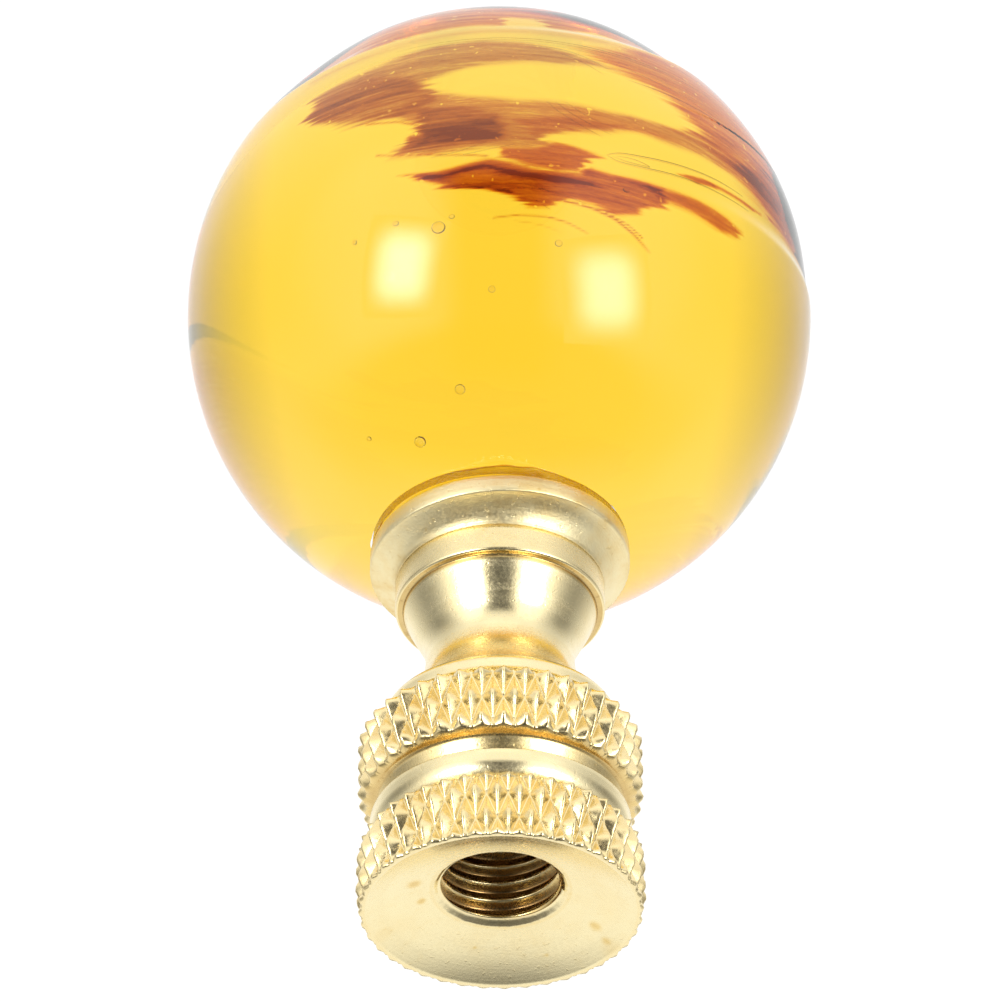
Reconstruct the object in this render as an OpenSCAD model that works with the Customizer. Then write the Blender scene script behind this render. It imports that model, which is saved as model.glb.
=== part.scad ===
// Lamp finial: a solid glass ball on a turned and knurled brass base.
// The base screws onto the stud of a lamp harp. The ball is held by a
// threaded stud and by clear adhesive, with a brass cup under it.
// Units are millimetres. +Z runs along the axis from the base to the ball.
// The origin is the centre of the flat rim that the finial stands on.

/* [Glass ball] */

// Diameter of the glass ball
ball_d = 31.5; // [26:0.5:40]
// Depth of the blind hole drilled in the ball
ball_hole_depth = 4.9; // [4.5:0.1:9]
// Diameter of the blind hole drilled in the ball
ball_hole_d = 5.0; // [4.6:0.1:6]

/* [Knurled base] */

// Diameter over the crests of the two knurled bands
knurl_d = 13.5; // [12.9:0.1:15]
// Height of each knurled band
knurl_h = 3.25; // [2.5:0.05:4]
// Height of the turned gap between the two knurled bands
gap_h = 2.65; // [2.5:0.05:3.5]
// Diameter of the floor of the grooves in the gap
groove_d = 11.1; // [10:0.1:11.4]
// Diameter of the narrowest part of the neck
neck_d = 7.16; // [6.6:0.02:7.6]
// Diameter of the plain bead above the bell
bead_d = 10.15; // [9.9:0.05:10.6]

/* [Cup under the ball] */

// Diameter of the rim of the cup
cup_d = 12.64; // [11.8:0.02:14]
// Height of the rim of the cup
cup_rim_h = 0.98; // [0.8:0.02:1.3]

/* [Harp thread, 1/4 inch 27 per inch] */

// Diameter of the tapped bore, at the crests of its thread
tapped_d = 5.44; // [5.33:0.01:5.56]
// Diameter of the mouth of the tapped bore
mouth_d = 6.28; // [6:0.02:6.5]
// Length of full thread in the tapped bore
tapped_h = 7.4; // [5:0.1:7.6]

/* [Hidden] */

$fn = 96;

// Clearance left between two pieces that only just touch
skin = 0.01;

// Foot and dish
rim_outer_r = knurl_d / 2 - 0.3;
rim_inner_r = rim_outer_r - 0.3;
foot_edge_h = 0.2;
dish_r = 0.94 * knurl_d;
dish_centre_z = -sqrt(pow(dish_r, 2) - pow(rim_inner_r, 2));
mouth_z = dish_centre_z + sqrt(pow(dish_r, 2) - pow(mouth_d / 2, 2));

// Heights of the turned features, from the foot upwards
low_knurl_top = foot_edge_h + knurl_h;
high_knurl_bottom = low_knurl_top + gap_h;
high_knurl_top = high_knurl_bottom + knurl_h;
shoulder_r = knurl_d / 2 - 1.35;
shoulder_z = high_knurl_top + 1.45;
neck_z = shoulder_z + 3.45;
bell_slope = 26;
bell_blend_r = 2.6;
bell_top_z = neck_z + 2.95;
bead_bottom = bell_top_z + 0.07;
bead_edge = 0.18;
cup_bottom = bead_bottom + 1.51;
cup_rim_bottom = cup_bottom + 1.11;
cup_rim_top = cup_rim_bottom + cup_rim_h;

// Tapped bore and its drill point
bore_r = tapped_d / 2;
bore_top = mouth_z + tapped_h;
drill_point_h = bore_r / tan(59);

// The narrow collar in the gap between the knurled bands
collar_r = groove_d / 2 + 0.57;
collar_top = high_knurl_bottom - 1.05;
collar_round = 1.0;
collar_flat = 0.6;

// Neck coves
low_cove_dr = shoulder_r - neck_d / 2;
low_cove_dz = neck_z - shoulder_z;
low_cove_r = (pow(low_cove_dr, 2) + pow(low_cove_dz, 2)) / (2 * low_cove_dr);
bell_start_r = neck_d / 2 + bell_blend_r * (1 - cos(bell_slope));
bell_start_z = neck_z + bell_blend_r * sin(bell_slope);
bell_top_r = bell_start_r + (bell_top_z - bell_start_z) * tan(bell_slope);

// Ball and its seat
ball_r = ball_d / 2;
seat_gap = 0.15;
spigot_top = cup_rim_bottom - 0.06;
ball_bottom = spigot_top + seat_gap + 0.1;
ball_z = ball_bottom + ball_r;
seat_r = ball_r + seat_gap;
ball_hole_top = ball_bottom + ball_hole_depth;

// Stud, number 8 size, and the holes that hold it
stud_r = 2.08;
stud_hole_r = 2.09;
stud_bottom = neck_z - 0.7;
stud_top = ball_hole_top - 0.45;
stud_chamfer = 0.4;
spigot_r = 2.6;
cup_bore_r = 2.65;

// Foot rim, both knurled bands and the gap between them, as a half section
module lower_section() {
  polygon([
    [0, 0],
    [rim_outer_r, 0],
    [knurl_d / 2, foot_edge_h],
    [knurl_d / 2, low_knurl_top - 0.12],
    [knurl_d / 2 - 0.16, low_knurl_top],
    [groove_d / 2, low_knurl_top],
    [groove_d / 2, high_knurl_bottom],
    [knurl_d / 2 - 0.16, high_knurl_bottom],
    [knurl_d / 2, high_knurl_bottom + 0.12],
    [knurl_d / 2, high_knurl_top - 0.1],
    [knurl_d / 2 - 0.15, high_knurl_top],
    [shoulder_r, shoulder_z],
    [0, shoulder_z]
  ]);
}

// Collar with a rounded lower edge, as a half section
module collar_section() {
  intersection() {
    translate([0, low_knurl_top - 0.1])
      square([collar_r, collar_top - low_knurl_top + 0.1]);
    union() {
      translate([collar_r - collar_round, collar_top - collar_flat])
        circle(r = collar_round);
      translate([0, collar_top - collar_flat])
        square([collar_r, collar_flat]);
      square([collar_r - collar_round, collar_top]);
    }
  }
}

// Neck, bell, bead and spigot, as a half section
module upper_section() {
  difference() {
    translate([0, shoulder_z - 0.1])
      square([shoulder_r, neck_z - shoulder_z + 0.1]);
    translate([neck_d / 2 + low_cove_r, neck_z])
      circle(r = low_cove_r);
  }
  difference() {
    translate([0, neck_z - 0.1])
      square([bell_start_r, bell_start_z - neck_z + 0.1]);
    translate([neck_d / 2 + bell_blend_r, neck_z])
      circle(r = bell_blend_r);
  }
  polygon([
    [0, bell_start_z - 0.1],
    [bell_start_r - 0.1 * tan(bell_slope), bell_start_z - 0.1],
    [bell_top_r, bell_top_z],
    [bell_top_r, bead_bottom],
    [bead_d / 2 - bead_edge, bead_bottom],
    [bead_d / 2, bead_bottom + bead_edge],
    [bead_d / 2, cup_bottom],
    [spigot_r, cup_bottom],
    [spigot_r, spigot_top - 0.2],
    [spigot_r - 0.2, spigot_top],
    [0, spigot_top]
  ]);
}

// Bar stock turned to shape, knurled, dished, tapped below and drilled above
module threaded_base() {
  color([0.86, 0.76, 0.52])
  difference() {
    union() {
      rotate_extrude() lower_section();
      rotate_extrude() collar_section();
      rotate_extrude() upper_section();
    }
    // Dished face inside the foot rim
    intersection() {
      translate([0, 0, dish_centre_z]) sphere(r = dish_r);
      translate([0, 0, -1]) cylinder(h = 4, r = rim_inner_r);
    }
    // Countersunk mouth
    translate([0, 0, mouth_z - 0.01])
      cylinder(h = mouth_d / 2 - bore_r, r1 = mouth_d / 2, r2 = bore_r);
    // Tapped bore for the harp stud
    cylinder(h = bore_top, r = bore_r);
    // Drill point
    translate([0, 0, bore_top - 0.001])
      cylinder(h = drill_point_h, r1 = bore_r, r2 = 0);
    // Hole for the ball stud
    translate([0, 0, stud_bottom - 0.1])
      cylinder(h = spigot_top - stud_bottom + 1, r = stud_hole_r);
  }
}

// Loose brass cup, bored to sit over the spigot, with a seat turned for the ball
module seat_cup() {
  cove_r = 2.4;
  cove_dr = cup_d / 2 - 0.1 - bead_d / 2;
  cove_dz = cup_rim_bottom - cup_bottom - 0.12;
  chord = sqrt(pow(cove_dr, 2) + pow(cove_dz, 2));
  sag = sqrt(pow(cove_r, 2) - pow(chord / 2, 2));
  color([0.88, 0.78, 0.54])
  difference() {
    rotate_extrude() difference() {
      polygon([
        [cup_bore_r, cup_bottom + skin],
        [bead_d / 2, cup_bottom + skin],
        [bead_d / 2, cup_bottom + 0.12],
        [cup_d / 2 - 0.1, cup_rim_bottom],
        [cup_d / 2, cup_rim_bottom + 0.08],
        [cup_d / 2, cup_rim_top - 0.08],
        [cup_d / 2 - 0.08, cup_rim_top],
        [cup_bore_r, cup_rim_top]
      ]);
      // Shallow cove under the rim
      translate([
        bead_d / 2 + cove_dr / 2 + sag * cove_dz / chord,
        cup_bottom + 0.12 + cove_dz / 2 - sag * cove_dr / chord
      ])
        circle(r = cove_r);
    }
    // Seat for the ball
    translate([0, 0, ball_z]) sphere(r = seat_r);
  }
}

// Plain length of stud, drawn at the outside diameter of its thread
module ball_stud() {
  length = stud_top - stud_bottom;
  color([0.80, 0.68, 0.42])
  rotate_extrude() polygon([
    [0, stud_bottom],
    [stud_r - stud_chamfer, stud_bottom],
    [stud_r, stud_bottom + stud_chamfer],
    [stud_r, stud_bottom + length - stud_chamfer],
    [stud_r - stud_chamfer, stud_bottom + length],
    [0, stud_bottom + length]
  ]);
}

// Clear adhesive that fills the hole in the ball round the stud
module stud_adhesive() {
  sleeve_bottom = ball_bottom + 0.25;
  color([0.95, 0.92, 0.80, 0.5])
  difference() {
    translate([0, 0, sleeve_bottom])
      cylinder(h = ball_hole_top - sleeve_bottom - skin, r = ball_hole_d / 2 - skin);
    translate([0, 0, sleeve_bottom - 1])
      cylinder(h = stud_top - sleeve_bottom + 1 + skin, r = stud_r + skin);
  }
}

// Clear adhesive between the ball and the cup, with its edge just inside the rim
module seat_adhesive() {
  edge_r = cup_d / 2 - 0.08;
  inner_r = ball_hole_d / 2 + 0.25;
  low = cup_rim_bottom;
  color([0.95, 0.90, 0.72, 0.5])
  difference() {
    translate([0, 0, low])
      cylinder(h = cup_rim_top - low + 1, r = edge_r);
    // Room for the ball
    translate([0, 0, ball_z]) sphere(r = ball_r + skin);
    // Room for the spigot and the stud
    translate([0, 0, low - 1]) cylinder(h = 4, r = inner_r);
    // Everything below the seat and the lip of the cup
    difference() {
      translate([0, 0, low - 1])
        cylinder(h = cup_rim_top - low + 1 + skin, r = cup_d);
      translate([0, 0, ball_z]) sphere(r = seat_r - skin);
    }
  }
}

// Solid glass ball with a blind hole in its underside
module glass_ball() {
  color([0.98, 0.76, 0.15, 0.6])
  difference() {
    translate([0, 0, ball_z]) sphere(r = ball_r);
    translate([0, 0, ball_bottom - 1])
      cylinder(h = ball_hole_depth + 1, r = ball_hole_d / 2);
  }
}

threaded_base();
seat_cup();
ball_stud();
stud_adhesive();
seat_adhesive();
glass_ball();
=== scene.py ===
import math

import bmesh
import bpy
import numpy as np
from mathutils import Matrix, Vector


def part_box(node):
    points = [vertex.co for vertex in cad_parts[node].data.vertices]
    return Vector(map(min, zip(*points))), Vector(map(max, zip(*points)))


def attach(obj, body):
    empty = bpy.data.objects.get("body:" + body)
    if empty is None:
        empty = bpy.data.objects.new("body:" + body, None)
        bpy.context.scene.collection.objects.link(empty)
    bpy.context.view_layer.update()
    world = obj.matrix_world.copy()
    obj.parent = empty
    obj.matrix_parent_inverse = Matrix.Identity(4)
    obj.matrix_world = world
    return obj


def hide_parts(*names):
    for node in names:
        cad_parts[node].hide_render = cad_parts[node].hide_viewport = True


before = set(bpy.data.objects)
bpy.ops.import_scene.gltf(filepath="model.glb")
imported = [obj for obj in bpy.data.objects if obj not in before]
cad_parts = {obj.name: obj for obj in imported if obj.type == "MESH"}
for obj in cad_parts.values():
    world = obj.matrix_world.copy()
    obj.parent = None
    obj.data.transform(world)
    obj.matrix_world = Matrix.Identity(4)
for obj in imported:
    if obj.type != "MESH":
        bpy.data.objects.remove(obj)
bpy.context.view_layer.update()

# Everything below is in metres in the row's frame. MM turns millimetres into metres.
MM = 0.001


# -------------------- sizes from the CAD
base_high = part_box("threaded_base")[1]
cup_low, cup_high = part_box("seat_cup")
ball_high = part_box("glass_ball")[1]
stud_low, stud_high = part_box("ball_stud")
sleeve_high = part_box("stud_adhesive")[1]

KNURL_R = base_high.x / MM
CUP_R = cup_high.x / MM
CUP_BOTTOM = cup_low.z / MM
CUP_TOP = cup_high.z / MM
BALL_R = ball_high.x / MM
BALL_TOP = ball_high.z / MM
BALL_Z = BALL_TOP - BALL_R
SPIGOT_TOP = base_high.z / MM
STUD_R = stud_high.x / MM
STUD_BOTTOM = stud_low.z / MM
STUD_TOP = stud_high.z / MM
HOLE_R = sleeve_high.x / MM + 0.01
HOLE_TOP = sleeve_high.z / MM + 0.01

# As in the CAD source, but the foot is 0.3 mm wider, and so dish and bore are up by 0.08 mm.
FOOT_R = KNURL_R - 0.15
RIM_R = FOOT_R - 0.30
DISH_R = 0.94 * 2 * KNURL_R
DISH_Z = -math.sqrt(DISH_R**2 - RIM_R**2)
MOUTH_R = 3.14
MOUTH_Z = DISH_Z + math.sqrt(DISH_R**2 - MOUTH_R**2)
BORE_R = 2.72
BORE_TOP = MOUTH_Z + 7.4
LOW_TOP = 0.20 + 3.25
HIGH_BOTTOM = LOW_TOP + 2.65
HIGH_TOP = HIGH_BOTTOM + 3.25
GROOVE_R = 5.55
COLLAR_R = GROOVE_R + 0.57
COLLAR_TOP = HIGH_BOTTOM - 1.05
SHOULDER_R = KNURL_R - 1.35
SHOULDER_Z = HIGH_TOP + 1.45
NECK_R = 3.58
NECK_Z = SHOULDER_Z + 3.45
BELL_SLOPE = math.radians(26)
BELL_BLEND = 2.6
BELL_TOP = NECK_Z + 2.95
BEAD_BOTTOM = BELL_TOP + 0.07
BEAD_R = 5.075
SPIGOT_R = 2.6
STUD_HOLE_R = 2.09
SEAT_R = BALL_R + 0.15
PITCH = 25.4 / 27
THREAD_DEPTH = 0.42
# Read off as 40 to 43 round the band
TEETH = 40
STEPS_PER_TOOTH = 20
KNURL_RISE = 2.65
KNURL_DEPTH = 0.50


# -------------------- mesh helpers
def add_object(name, data):
    obj = bpy.data.objects.new(name, data)
    bpy.context.scene.collection.objects.link(obj)
    return obj


def make_mesh(name, verts, faces):
    mesh = bpy.data.meshes.new(name)
    mesh.from_pydata([tuple(v) for v in np.asarray(verts) * MM], [], faces)
    mesh.validate()
    mesh.polygons.foreach_set("use_smooth", [True] * len(mesh.polygons))
    mesh.update()
    return add_object(name, mesh)


class Lathe:
    """A closed skin made of rings about Z. Neighbouring rings may differ in count by a whole ratio."""

    def __init__(self):
        self.verts = []
        self.tones = []
        self.faces = []
        self.last = None

    def ring(self, radii, heights, count, tone=0.0):
        """Adds one ring. Radii, heights and tones are one number each, or one number a point."""
        angle = np.arange(count) * 2 * np.pi / count
        r = np.broadcast_to(np.asarray(radii, float), (count,))
        z = np.broadcast_to(np.asarray(heights, float), (count,))
        start = len(self.verts)
        self.verts.extend(np.stack([r * np.sin(angle), -r * np.cos(angle), z], 1).tolist())
        self.tones.extend(np.broadcast_to(np.asarray(tone, float), (count,)).tolist())
        ring = (start, count)
        if self.last is not None:
            self.join(self.last, ring)
        self.last = ring

    def band(self, radii, heights, slants, tone=0.0):
        """Adds rows of a knurl. slants says for each cell which way its quad is folded."""
        for k in range(len(heights)):
            count = radii.shape[1]
            if k == 0:
                self.ring(radii[0], heights[0], count, tone)
                continue
            below = self.last
            self.last = None
            self.ring(radii[k], heights[k], count, tone)
            s, t = below[0], self.last[0]
            for i in range(count):
                j = (i + 1) % count
                if slants[k - 1, i]:
                    self.faces += [(s + i, s + j, t + j), (s + i, t + j, t + i)]
                else:
                    self.faces += [(s + i, s + j, t + i), (s + j, t + j, t + i)]

    def tip(self, z, tone=0.0):
        """Closes the skin with one point on the axis."""
        start = len(self.verts)
        self.verts.append([0, 0, z])
        self.tones.append(tone)
        if self.last is not None:
            s, n = self.last
            self.faces.extend([(s + i, s + (i + 1) % n, start) for i in range(n)])
        self.last = (start, 1)

    def join(self, a, b):
        (sa, na), (sb, nb) = a, b
        if na == 1:
            self.faces.extend([(sa, sb + (i + 1) % nb, sb + i) for i in range(nb)])
        elif na == nb:
            self.faces.extend([(sa + i, sa + (i + 1) % na, sb + (i + 1) % na, sb + i) for i in range(na)])
        elif na < nb:
            k = nb // na
            for i in range(na):
                fine = [sb + (i * k + m) % nb for m in range(k + 1)]
                near, far = sa + i, sa + (i + 1) % na
                half = k // 2
                self.faces.extend([(near, fine[m + 1], fine[m]) for m in range(half)])
                self.faces.append((near, far, fine[half]))
                self.faces.extend([(far, fine[m + 1], fine[m]) for m in range(half, k)])
        else:
            k = na // nb
            for i in range(nb):
                fine = [sa + (i * k + m) % na for m in range(k + 1)]
                near, far = sb + i, sb + (i + 1) % nb
                half = k // 2
                self.faces.extend([(fine[m], fine[m + 1], near) for m in range(half)])
                self.faces.append((fine[half], far, near))
                self.faces.extend([(fine[m], fine[m + 1], far) for m in range(half, k)])

    def build(self, name):
        obj = make_mesh(name, self.verts, self.faces)
        tones = obj.data.attributes.new("tone", "FLOAT", "POINT")
        tones.data.foreach_set("value", np.asarray(self.tones, np.float32))
        return obj


def arc(centre, radius, start, end, steps):
    """Points (r, z) on a circle in the half section, from one angle to another, in degrees."""
    turns = np.radians(np.linspace(start, end, steps))
    return [(centre[0] + radius * math.cos(t), centre[1] + radius * math.sin(t)) for t in turns]


def split(points, step):
    """The same outline with no stretch longer than step."""
    out = [points[0]]
    for (r0, z0), (r1, z1) in zip(points[:-1], points[1:]):
        n = max(1, math.ceil(math.hypot(r1 - r0, z1 - z0) / step))
        out.extend([(r0 + (r1 - r0) * i / n, z0 + (z1 - z0) * i / n) for i in range(1, n + 1)])
    return out


# -------------------- brass base
FINE = TEETH * STEPS_PER_TOOTH
COARSE = FINE // 4
ROW = KNURL_RISE / STEPS_PER_TOOTH
# How brown the brass is: 0 clean and pale, 0.5 gold, 1 dark in the bore. The gold in the groove, in the
# corners and at the seams is painted shade and reflection, and so are the dark thread roots.
CLEAN, KNURL_TONE, HOLLOW_SHADE, BORE = 0.0, 0.20, 0.5, 1.0


def knurl_rows(z0, z1, node_z, shift, end_r):
    """Rows of a diamond knurl between two heights: pyramids left by two crossed families of V grooves.

    node_z is a height at which the grooves cross, and shift turns the pattern, in steps of a tooth.
    """
    first = math.ceil((z0 - node_z) / ROW)
    last = math.floor((z1 - node_z) / ROW)
    steps = np.arange(first, last + 1)
    z = node_z + steps * ROW
    column = np.arange(FINE)[None, :] + shift
    k = steps[:, None]

    def groove(i):
        return np.abs((i / STEPS_PER_TOOTH) % 1.0 - 0.5) * 2

    one, two = groove(column - k), groove(column + k)
    # the ridges are worn round and the grooves stay sharp
    ridge = (((one + 0.02) ** -5 + (two + 0.02) ** -5) / 2) ** (-1 / 5) - 0.02
    height = np.minimum(ridge / 0.92, 1.0)
    cell = np.round((column - k) / STEPS_PER_TOOTH) * 53 + np.round((column + k) / STEPS_PER_TOOTH) * 17
    wear = ((np.sin(cell * 12.9898) * 43758.5453) % 1.0) * 0.035
    worn = np.minimum(height, 1 - wear * 1.6)
    # slight waviness of rolled rather than cut grooves
    roll = 0.012 * np.sin(column * 0.9 + 0.7 * k) * np.sin(k * 1.7 + column * 0.23)
    radii = np.minimum(KNURL_R - KNURL_DEPTH * (1 - worn) + roll, KNURL_R - 0.002)
    # the teeth run out at both ends of a band
    low_end = (0.90 * (1 - np.clip((z - z0 + 0.04) / 0.42, 0, 1)))[:, None]
    high_end = (0.45 * (1 - np.clip((z1 + 0.06 - z) / 0.20, 0, 1)))[:, None]
    radii = radii * (1 - low_end - high_end) + end_r * low_end + (KNURL_R - 0.34) * high_end
    half = 0.5
    slants = groove(column + half - (k + half))[:-1] < groove(column + half + k + half)[:-1]
    return radii, z, slants


def painted_spots(x, y, points):
    """Brown spots painted into the tone: each point is x, y, radius and strength."""
    out = 0.0
    for px, py, size, strength in points:
        gap = np.hypot(x - px, y - py) / size
        out = out + strength * np.clip(1.6 - 1.6 * gap, 0, 1)
    return out


def base_piece():
    lathe = Lathe()
    around = np.arange(COARSE) * 2 * np.pi / COARSE
    # Bottom of the bore, thread, mouth, dish and foot rim, from the inside outwards.
    point = BORE_R / math.tan(math.radians(59))
    lathe.tip(BORE_TOP + point, BORE)
    lathe.ring(BORE_R * 0.5, BORE_TOP + 0.5 * point, COARSE, BORE)
    lathe.ring(BORE_R, BORE_TOP, COARSE, BORE)
    turn = np.arange(COARSE) / COARSE
    top, low = BORE_TOP - 0.3, MOUTH_Z + 0.20
    # the tone paints the thread's crests pale and its roots dark: painted highlight on the crests, painted
    # shade in the roots
    for z in np.arange(top, low, -PITCH / 20):
        phase = ((z + turn * PITCH + 0.30) / PITCH) % 1.0
        # a narrow flat crest, two 30 degree flanks and a rounded root
        flank = np.clip((np.abs(phase - 0.5) - 0.06) / 0.36, 0, 1)
        fade = min(1.0, (top - z) / 0.4, 0.3 + (z - low) / 0.7)
        cut = THREAD_DEPTH * np.sin(flank * np.pi / 2) * fade
        lathe.ring(BORE_R + cut, z, COARSE, BORE * (1 - 0.80 * (1 - flank) ** 2))
    burr = 0.006 * np.sin(turn * 44) + 0.010 * np.sin(turn * 107 + 1) + 0.008 * np.sin(turn * 233 + 2)
    lathe.ring(MOUTH_R - 0.30, MOUTH_Z + 0.24, COARSE, 0.10)
    lathe.ring(MOUTH_R - 0.16 + burr * 0.3, MOUTH_Z + 0.12, COARSE, 0.05)
    lathe.ring(MOUTH_R - 0.05 + burr * 0.8, MOUTH_Z + 0.02, COARSE, 0.05)
    lathe.ring(MOUTH_R + 0.02 + burr * 0.5, MOUTH_Z - 0.015 - np.abs(burr), COARSE, 0.15)
    lathe.ring(MOUTH_R + 0.13, MOUTH_Z - 0.02, COARSE, 0.2)
    # brown patches on the dish, most on its far side, stand in for its dark reflections: painted reflection
    reflection_spots = [(-4.0, -0.9, 0.45, 0.5), (-3.7, 0.7, 0.30, 0.5), (4.4, 2.2, 0.42, 0.45), (4.9, 2.9, 0.30, 0.4),
             (5.4, 3.4, 0.9, 0.22), (-5.6, 2.2, 0.7, 0.15), (2.1, 4.6, 0.14, 0.5), (-1.2, 4.3, 0.12, 0.45)]
    for r in np.linspace(MOUTH_R + 0.22, RIM_R - 0.03, 40):
        tone = painted_spots(r * np.sin(around), -r * np.cos(around), reflection_spots)
        lathe.ring(r, DISH_Z + math.sqrt(DISH_R**2 - r**2), COARSE, tone)
    lathe.ring(RIM_R + 0.02, 0.012, COARSE, 0.1)
    lathe.ring(RIM_R + 0.06, 0.0, COARSE, 0.15)
    lathe.ring(FOOT_R - 0.22, 0.0, COARSE, 0.1)
    low_rows, low_z, low_slants = knurl_rows(0.05, LOW_TOP - 0.02, 2.4, 3, KNURL_R - 0.14)
    lathe.ring(np.minimum(low_rows[0] - 0.06, FOOT_R + 0.04), 0.0, FINE, 0.15)
    lathe.band(low_rows, low_z, low_slants, KNURL_TONE)
    # the groove between the bands is painted gold: painted shade in the hollow
    lathe.ring(KNURL_R - KNURL_DEPTH - 0.04, LOW_TOP, FINE, HOLLOW_SHADE)
    gap = [(GROOVE_R + 0.35, LOW_TOP + 0.02), (GROOVE_R, LOW_TOP + 0.03), (GROOVE_R, COLLAR_TOP - 1.5)]
    gap += arc((COLLAR_R - 1.0, COLLAR_TOP - 0.6), 1.0, -50, 0, 14)
    gap += [(COLLAR_R, COLLAR_TOP - 0.10), (COLLAR_R - 0.02, COLLAR_TOP - 0.04)]
    gap += [(COLLAR_R - 0.08, COLLAR_TOP)]
    for r, z in split(gap, 0.25):
        lathe.ring(r, z, COARSE, HOLLOW_SHADE if r < GROOVE_R + 0.1 else CLEAN)
    floor = [(COLLAR_R - 0.12, COLLAR_TOP + 0.004), (GROOVE_R + 0.14, COLLAR_TOP + 0.01)]
    floor += arc((GROOVE_R + 0.16, COLLAR_TOP + 0.17), 0.16, 260, 180, 5)
    # a straight wall, a cone and a fillet: each part is a lean from upright and a length
    wall_top = COLLAR_TOP + 0.24
    floor.append((GROOVE_R, wall_top))
    for degrees, length in [(6, 0.05), (13, 0.05), (20, 0.05), (26, 0.48),
                            (36, 0.07), (48, 0.07), (60, 0.07), (72, 0.07)]:
        r, z = floor[-1]
        angle = math.radians(degrees)
        floor.append((r + length * math.sin(angle), z + length * math.cos(angle)))
    # the cone and fillet under the upper band are painted gold, most of all in the corner under it: painted
    # reflection and shade in the hollow
    for r, z in split(floor, 0.1):
        tone = 0.08 if z < wall_top + 0.02 else 0.30
        lathe.ring(r, min(z, HIGH_BOTTOM), COARSE, 0.55 if z > HIGH_BOTTOM - 0.22 else tone)
    high_rows, high_z, high_slants = knurl_rows(HIGH_BOTTOM + 0.03, HIGH_TOP, 9.1, -3, KNURL_R - 0.36)
    # the foot of the upper band is painted darker gold: painted shade in the corner under it
    lathe.ring(high_rows[0] - 0.06, HIGH_BOTTOM, FINE, 0.4)
    lathe.band(high_rows, high_z, high_slants, KNURL_TONE)
    # Shoulder cone, neck, bell and bead.
    cove = ((SHOULDER_R - NECK_R) ** 2 + (NECK_Z - SHOULDER_Z) ** 2) / (2 * (SHOULDER_R - NECK_R))
    first = math.degrees(math.atan2(SHOULDER_Z - NECK_Z, SHOULDER_R - NECK_R - cove))
    upper = [(KNURL_R - 0.50, HIGH_TOP + 0.10), (SHOULDER_R + 0.38, HIGH_TOP + 0.42),
             (SHOULDER_R + 0.28, HIGH_TOP + 0.58), (SHOULDER_R + 0.24, SHOULDER_Z - 0.30),
             (SHOULDER_R + 0.14, SHOULDER_Z - 0.08), (SHOULDER_R - 0.03, SHOULDER_Z)]
    upper += arc((NECK_R + cove, NECK_Z), cove, first + 359, 180, 26)
    upper += arc((NECK_R + BELL_BLEND, NECK_Z), BELL_BLEND, 178, 180 - math.degrees(BELL_SLOPE), 12)
    start_r = NECK_R + BELL_BLEND * (1 - math.cos(BELL_SLOPE))
    start_z = NECK_Z + BELL_BLEND * math.sin(BELL_SLOPE)
    top_r = start_r + (BELL_TOP - start_z) * math.tan(BELL_SLOPE)
    upper += [(top_r - 0.02, BELL_TOP - 0.04), (top_r - 0.03, BELL_TOP), (top_r, BEAD_BOTTOM)]
    upper += [(BEAD_R - 0.17, BEAD_BOTTOM)]
    upper += arc((BEAD_R - 0.16, BEAD_BOTTOM + 0.16), 0.16, -80, 0, 7)
    upper += [(BEAD_R, CUP_BOTTOM - 0.05), (BEAD_R - 0.05, CUP_BOTTOM - 0.01)]
    # the neck's cove and the seam under the bead are painted a browner gold: painted shade and reflection in
    # these hollows
    for r, z in split(upper, 0.2):
        tone = 0.04
        if SHOULDER_Z + 0.2 < z < NECK_Z - 0.3:
            tone = 0.14
        if BELL_TOP - 0.1 < z < BEAD_BOTTOM + 0.01:
            tone = 0.55
        if z > BEAD_BOTTOM + 0.02:
            tone = 0.14
        lathe.ring(r, z, COARSE, tone)
    # Flat under the cup, spigot and the hole for the stud, painted darker as shade under the cup and darker
    # still in the hole.
    for r, z in [(SPIGOT_R, CUP_BOTTOM), (SPIGOT_R, SPIGOT_TOP - 0.2), (SPIGOT_R - 0.2, SPIGOT_TOP),
                 (STUD_HOLE_R + 0.03, SPIGOT_TOP), (STUD_HOLE_R, SPIGOT_TOP - 0.1)]:
        lathe.ring(r, z, COARSE, 0.3)
    lathe.ring(STUD_HOLE_R, STUD_BOTTOM - 0.1, COARSE, 0.5)
    lathe.tip(STUD_BOTTOM - 0.1, 0.5)
    return lathe.build("brass_base")


# -------------------- cup
CUP_TILT = math.radians(2.2)


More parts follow.
